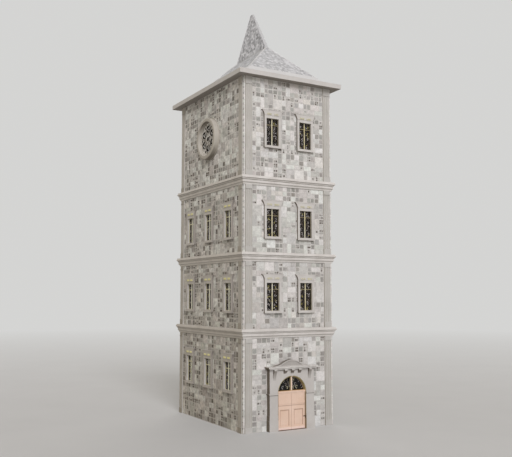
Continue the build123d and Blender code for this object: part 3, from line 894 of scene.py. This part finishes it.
def corner_stones(storey, dice):
    """Pale stones round the four edges of the tower, with small sunk stones between them on the long sides,
    near black as painted shade in these notches.
    """
    pile = Pile()
    strips = on_side("front", f"pilasters_{storey}")
    depth = side_high.x - max(right for left, right, _, _ in strips if right - left > PILASTER_LEAST)
    foot, top = wall_ends(storey)
    count = round((top - foot) / CORNER_HIGH)
    rise = (top - foot) / count

    def block(signs, past_x, past_y, low, high, tone):
        ends_x, ends_y = (
            sorted(sign * (edge + past) for past in pasts)
            for sign, edge, pasts in zip(signs, (side_high.x, back_y), (past_x, past_y))
        )
        chamfered_box(pile, ends_x, ends_y, (low, high), CHAMFER / 2, tone)

    whole = (0.004 - depth, CORNER_PROUD)
    narrow = (-0.012, CORNER_PROUD)
    sunk = (-0.004, 0.002)
    behind = (0.004 - depth, -0.016)
    for signs in ((-1, -1), (1, -1), (1, 1), (-1, 1)):
        for step in range(count):
            low = foot + rise * step + JOINT / 2
            high = foot + rise * (step + 1) - JOINT / 2
            middle = high - CORNER_GAP * dice.uniform(0.7, 1.4)
            block(signs, whole, whole, low, middle, dice.uniform(0.84, 1.0))
            block(signs, whole, narrow, middle + JOINT / 2, high, dice.uniform(0.84, 1.0))
            # Sunk stones in the darkest tones: painted shade in the notches
            block(signs, sunk, behind, middle, high + JOINT / 2, dice.uniform(0.0, 0.1))
    pile.build(f"corner_stones_{storey}", SQUARED, "ashlar")


def lay_all_walls():
    walls = {"front_stones": ("front",), "back_stones": ("back",), "side_stones": LONG_SIDES}
    for storey in range(1, 5):
        for name, sides in walls.items():
            pile = Pile()
            for side in sides:
                lay_wall(pile, side, storey, random.Random(f"{side} {storey}"))
            pile.build(f"{name}_{storey}", SQUARED, "ashlar")
        corner_stones(storey, random.Random(f"corners {storey}"))


# Tiles

def tiled_slope(pile, feet, tops, start, size, dice):
    """Pointed tiles in courses on one slope, given by the ends of its foot and of its top."""
    wide, exposed = size
    foot_middle = (feet[0] + feet[1]) / 2
    across = (feet[1] - feet[0]).normalized()
    up = (tops[0] + tops[1]) / 2 - foot_middle
    length = up.length
    up.normalize()
    normal = across.cross(up)
    foot_half = (feet[1] - feet[0]).length / 2
    top_half = (tops[1] - tops[0]).length / 2

    def half_at(height):
        return foot_half + (top_half - foot_half) * min(height / length, 1.0)

    def point(along, height, lift):
        height = min(height, length)
        reach = half_at(height)
        return foot_middle + across * max(-reach, min(reach, along)) + up * height + normal * lift

    def tile(middle, low):
        left, right = middle - wide * 0.47, middle + wide * 0.47
        if left > half_at(low) - 0.02 or right < 0.02 - half_at(low):
            return
        shoulder = low + exposed * dice.uniform(0.34, 0.44)
        head = low + exposed * 1.75
        lift = TILE_THICK * dice.uniform(0.85, 1.15)
        outline = ((left, head, 0.15), (left, shoulder, 0.8), (middle, low, 1.0), (right, shoulder, 0.8),
                   (right, head, 0.15))
        top = [point(a, h, lift * share) for a, h, share in outline]
        base = [point(a, h, -0.002) for a, h, _ in outline]
        faces = [(5, 6, 1, 0), (6, 7, 2, 1), (7, 8, 3, 2), (8, 9, 4, 3), (0, 1, 2, 3, 4)]
        pile.add(top + base, faces, dice.random())

    for course in range(int((length - start) / exposed) + 1):
        low = start + course * exposed
        if low > length - 0.03:
            break
        count = int(half_at(low) / wide) + 2
        for step in range(-count, count + 1):
            tile((step + 0.5 * (course % 2)) * wide, low)


def hip_line(pile, start, end, wide, tone):
    """Low ridge of stone along an edge of the roof."""
    run = (end - start).normalized()
    up = Vector((0, 0, 1))
    side = run.cross(up).normalized() * wide / 2
    rise = up * wide * 0.45
    drop = up * wide * 0.35
    shape = (-side - drop, rise * 0.7 - side * 0.6, rise, side * 0.6 + rise * 0.7, side - drop)
    rings = [[p + step for step in shape] for p in (start, end)]
    pile.rings(rings, tone)
    pile.add(rings[0][::-1], [(0, 1, 2, 3, 4)], tone)


def roofs():
    """Tiles on the hip roof and on the long faces of the spire, with stone along the roof's edges."""
    foot_low, foot_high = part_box("hip_roof")
    ridge_low, ridge_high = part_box("spire")
    tip = [v.co for v in frame["nodes"]["spire"].data.vertices if v.co.z > ridge_high.z - 0.001]
    tip_x = max(abs(p.x) for p in tip)
    tip_y = max(abs(p.y) for p in tip)

    def corner_points(x, y, z):
        return [Vector((*end, z)) for end in corners((-x, x, -y, y), 0)]

    foot = corner_points(foot_high.x, foot_high.y, foot_low.z)
    ridge = corner_points(ridge_high.x, ridge_high.y, ridge_low.z)
    point = corner_points(tip_x, tip_y, ridge_high.z)
    roof, spire, edges = Pile(), Pile(), Pile()
    for i in range(4):
        j = (i + 1) % 4
        ends = (foot[i], foot[j]), (ridge[i], ridge[j]), (point[i], point[j])
        tiled_slope(roof, *ends[:2], RIM_UP_THE_SLOPE, ROOF_TILE, random.Random(f"roof {i}"))
        if i % 2:
            tiled_slope(spire, *ends[1:], SPIRE_RIM, SPIRE_TILE, random.Random(f"spire {i}"))
        hip_line(edges, foot[i], ridge[i], HIP_WIDE, 0.5)
    roof.build("roof_tile_courses", ROOF_TILES, "roof_tile")
    spire.build("spire_tile_courses", SPIRE_TILES, "spire_tile")
    edges.build("roof_hip_stones", RIM, "roof_tile")


# Window grilles and tablets

# Widths along a leaf of a grille, a leaf of a tablet and a leaf of the round windows' tracery
GRILLE_LEAF = (0.006, 0.030, 0.042, 0.026, 0.004)
TABLET_LEAF = (0.006, 0.018, 0.022, 0.014, 0.002)
SCROLL_LEAF = (0.050, 0.056, 0.060, 0.058, 0.052, 0.044, 0.036, 0.026, 0.010)


def wave(side, middle, low, high, reach, turn, out):
    """Sinuous bar up a pane."""
    count = max(8, round((high - low) / GRILLE_PERIOD * 12))
    heights = [low + (high - low) * i / count for i in range(count + 1)]
    return [
        side.at(middle + turn * reach * math.sin(2 * math.pi * (h - low) / GRILLE_PERIOD / 2), h, out)
        for h in heights
    ]


def volute(side, middle, height, radius, turn, out):
    """Spiral that curls up from the middle of a pane."""
    steps = 14
    line = []
    for i in range(steps + 1):
        angle = turn * (i / steps * 1.6 * math.pi) - math.pi / 2
        size = radius * (1 - 0.75 * i / steps)
        line.append(side.around(middle + turn * radius * 0.2, height, size, angle, out))
    return line


def tapered(line, wide):
    """Widths along a line, from one and a half times a width down to half of it."""
    return [wide * (1.5 - i / len(line)) for i in range(len(line))]


def pane_grille(pile, side, left, right, low, high, dice):
    """Two waving bars that cross, with a curl and a leaf in most loops."""
    middle = (left + right) / 2
    reach = (right - left) / 2 * 0.62
    for turn in (-1, 1):
        line = wave(side, middle, low, high, reach * dice.uniform(0.7, 1.0), turn, GRILLE_OUT + 0.002 * turn)
        pile.ribbon(line, [GRILLE_WIDE * 0.7] * len(line), side.out, GRILLE_THICK, dice.uniform(0.1, 0.4))
    turn = dice.choice((-1, 1))
    height = low + GRILLE_PERIOD * dice.uniform(0.1, 0.5)
    while height < high - 0.05:
        place = middle + reach * dice.uniform(-0.25, 0.25)
        curl = volute(side, place, height, reach * dice.uniform(0.4, 0.75), turn, GRILLE_OUT)
        tone = dice.choice((0.1, 0.4, 0.6, 0.7, 0.78, 0.95))
        pile.ribbon(curl, tapered(curl, GRILLE_WIDE), side.out, GRILLE_THICK, tone)
        for _ in range(dice.choice((0, 1, 1, 2))):
            hand, lean, rise = dice.choice((-1, 1)), dice.uniform(-0.05, 0.05), dice.uniform(-0.1, 0.1)
            leaf = [
                side.at(middle + hand * reach * (0.1 + 0.25 * i), height + rise + lean * i / 2, GRILLE_OUT)
                for i in range(len(GRILLE_LEAF))
            ]
            pile.ribbon(leaf, GRILLE_LEAF, side.out, GRILLE_THICK, dice.uniform(0.5, 1.0))
        height += GRILLE_PERIOD * dice.uniform(0.5, 1.05)
        turn = -turn if dice.random() < 0.7 else turn


def window_grille(pile, side, rectangle, dice):
    """Grilles over the four lights of one window."""
    left, right, low, high = rectangle
    inner = FRAME_LAP + FRAME_INSIDE
    middle = (left + right) / 2
    bar = high - FRAME_LAP - BAR_DROP
    for pane_left, pane_right in ((left + inner, middle - POST_HALF), (middle + POST_HALF, right - inner)):
        pane_grille(pile, side, pane_left, pane_right, low + inner, bar - BAR_HALF, dice)
        pane_grille(pile, side, pane_left, pane_right, bar + BAR_HALF, high - inner, dice)


def rosette(pile, side, across, height, radius, out, tone):
    """Flower of eight petals."""
    for petal in range(8):
        line = [side.around(across, height, radius * share, math.pi / 4 * petal, out)
                for share in (0.12, 0.45, 0.75, 1.0)]
        pile.ribbon(line, [radius * 0.2, radius * 0.5, radius * 0.55, radius * 0.08], side.out, 0.010, tone)


def tablet(pile, side, across, height, dice):
    """Painted plate with a flower in its middle and leaves to each end."""
    wide, high = TABLET_SIZE
    plate = (across - wide / 2, across + wide / 2, height - high / 2, height + high / 2)

    def ring(inset, sunk):
        return [side.at(a, h, TABLET_FACE - sunk) for a, h in corners(plate, inset)]

    pile.rings([ring(0.002, 0.015), ring(0.002, 0.003), ring(0.006, 0.0)], dice.uniform(0.2, 0.6))
    rosette(pile, side, across, height, 0.042, TABLET_FACE, dice.uniform(0.6, 1.0))
    for hand in (-1, 1):
        for lean in (-1, 0, 1):
            line = []
            for t in (0.0, 0.3, 0.6, 0.85, 1.0):
                rise = lean * 0.034 * math.sin(t * 2.2)
                line.append(side.at(across + hand * (0.045 + 0.09 * t), height + rise, TABLET_FACE))
            pile.ribbon(line, TABLET_LEAF, side.out, 0.008, dice.uniform(0.3, 1.0))


def window_details():
    """Grilles in all windows, and two tablets in the hood of each."""
    for storey in range(1, 5):
        grilles, tablets = Pile(), Pile()
        dice = random.Random(f"grilles {storey}")
        for name, side in SIDES.items():
            for rectangle in on_side(name, f"window_frames_{storey}"):
                window_grille(grilles, side, rectangle, dice)
            for left, right, _, high in on_side(name, f"window_surrounds_{storey}"):
                for hand in (-1, 1):
                    across = (left + right) / 2 + hand * TABLET_FROM_MIDDLE
                    tablet(tablets, side, across, high - TABLET_UNDER_HOOD, dice)
        grilles.build(f"window_grilles_{storey}", GRILLE, "window_paint")
        tablets.build(f"window_tablets_{storey}", TABLET, "window_paint")


# Scrolls in the holes of the round windows

def scroll(side, across, height, start, turn):
    """The middle line of a leaf that curls in from the edge of a hole."""
    line = []
    for i in range(len(SCROLL_LEAF)):
        share = i / (len(SCROLL_LEAF) - 1)
        reach = FOIL_RADIUS * (1.0 - 0.78 * share)
        line.append(side.around(across, height, reach, start + turn + 1.9 * share, SCROLL_OUT))
    return line


def round_window_scrolls():
    """Three thin stone leaves curled in each large hole of the tracery."""
    pile = Pile()
    dice = random.Random("tracery")
    for name in LONG_SIDES:
        side = SIDES[name]
        (left, right, low, high), = on_side(name, "round_window_rings")
        for hole in range(6):
            angle = math.radians(60 * hole)
            across = (left + right) / 2 + FOIL_ORBIT * math.sin(angle)
            height = (low + high) / 2 + FOIL_ORBIT * math.cos(angle)
            start = dice.uniform(0, 2 * math.pi)
            for leaf in range(3):
                line = scroll(side, across, height, start, leaf * 2 * math.pi / 3)
                pile.ribbon(line, SCROLL_LEAF, side.out, 0.030, dice.uniform(0.3, 1.0))
    pile.build("round_window_scrolls", SCROLL, "dressed_stone")


# Fanlight

# Each curl's angle in degrees, distance from the foot of the post and radius
FANLIGHT_CURLS = [
    (10, 0.66, 0.110), (30, 0.70, 0.095), (50, 0.70, 0.095), (72, 0.68, 0.085), (14, 0.42, 0.105),
    (44, 0.44, 0.100), (72, 0.42, 0.085), (24, 0.22, 0.085), (70, 0.20, 0.070),
]


def fanlight_grille():
    """Curls of thin iron in front of the fanlight, on each side of its post."""
    side = SIDES["front"]
    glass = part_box("fanlight_glass")[0]
    out = abs(glass.y) - side.origin.dot(side.out) + 0.002
    foot = glass.z + 0.10
    pile = Pile()
    dice = random.Random("fanlight")
    for hand in (-1, 1):
        for degrees, reach, size in FANLIGHT_CURLS:
            angle = math.radians(degrees)
            across = hand * (FAN_POST_HALF + reach * math.cos(angle))
            height = foot + reach * math.sin(angle) * 0.80
            curl = volute(side, across, height, size, hand * dice.choice((-1, 1)), out)
            pile.ribbon(curl, tapered(curl, 0.022), side.out, 0.006, dice.choice((0.25, 0.4, 0.5, 0.6, 0.85)))
    pile.build("fanlight_grille", GRILLE, "window_paint")


# Floor, light and camera

def ground():
    """Pale floor that fades into the backdrop far from the tower."""
    mesh = bpy.data.meshes.new("studio_floor")
    ends = [(*end, 0) for end in corners((-FLOOR_REACH, FLOOR_REACH, -FLOOR_REACH, FLOOR_REACH), 0)]
    mesh.from_pydata(ends, [], [(0, 1, 2, 3)])
    look = Look("studio_floor_paint", 0.9, 0.1)
    paint = look.made(look.clouds(0.2, 2, 0.3, (0.66, 0.66, 0.655, 1), 0.7, (0.68, 0.68, 0.675, 1)))
    distance = look.node("VectorMath", {0: look.place}, operation="LENGTH").outputs["Value"]
    path = look.node("LightPath").outputs
    seen = look.most(path["Is Camera Ray"], path["Is Glossy Ray"])
    far = look.times(seen, look.stretch(distance, *FLOOR_FADE))
    glow = look.node("Emission", {"Color": BACKDROP}).outputs["Emission"]
    both = look.node("MixShader", {0: far, 1: look.shader.outputs["BSDF"], 2: glow})
    look.tree.links.new(both.outputs[0], look.tree.nodes["Material Output"].inputs["Surface"])
    mesh.materials.append(paint)
    placed("studio_floor", mesh)


def world():
    """A pale backdrop for the camera and the reflections, and an even, slightly warm fill for the rest."""
    made = bpy.data.worlds.new("studio")
    bpy.context.scene.world = made
    made.use_nodes = True
    tree = made.node_tree
    tree.nodes.clear()
    path = wired(tree, "LightPath").outputs
    rays = {0: path["Is Camera Ray"], 1: path["Is Glossy Ray"]}
    seen = wired(tree, "Math", rays, operation="MAXIMUM").outputs[0]
    fill = wired(tree, "Background", {"Color": FILL_COLOUR, "Strength": FILL}).outputs[0]
    backdrop = wired(tree, "Background", {"Color": BACKDROP}).outputs[0]
    both = wired(tree, "MixShader", {0: seen, 1: fill, 2: backdrop}).outputs[0]
    wired(tree, "OutputWorld", {"Surface": both})


def lamp(name, energy, width, colour, place):
    """Distant soft lamp that shines from a direction on the tower."""
    light = bpy.data.lights.new(name, "SUN")
    light.energy = energy
    light.angle = math.radians(width)
    light.color = colour
    placed(name, light).rotation_euler = Vector(place).to_track_quat("Z", "Y").to_euler()


def camera():
    lens = bpy.data.cameras.new("photo_camera")
    lens.sensor_width = SENSOR_WIDE
    lens.lens = FOCAL_PIXELS * SENSOR_WIDE / IMAGE_WIDE
    lens.clip_end = 1000
    made = placed("photo_camera", lens)
    made.location = CAMERA_PLACE
    made.rotation_euler = (math.radians(90 + CAMERA_PITCH), 0, math.radians(-CAMERA_HEADING))
    bpy.context.scene.camera = made


finish_nodes()
lay_all_walls()
roofs()
window_details()
round_window_scrolls()
fanlight_grille()
ground()
world()
lamp("key", KEY, KEY_WIDTH, KEY_COLOUR, KEY_FROM)
lamp("back", BACK, BACK_WIDTH, BACK_COLOUR, BACK_FROM)
camera()
bpy.context.scene.view_settings.view_transform = "Standard"
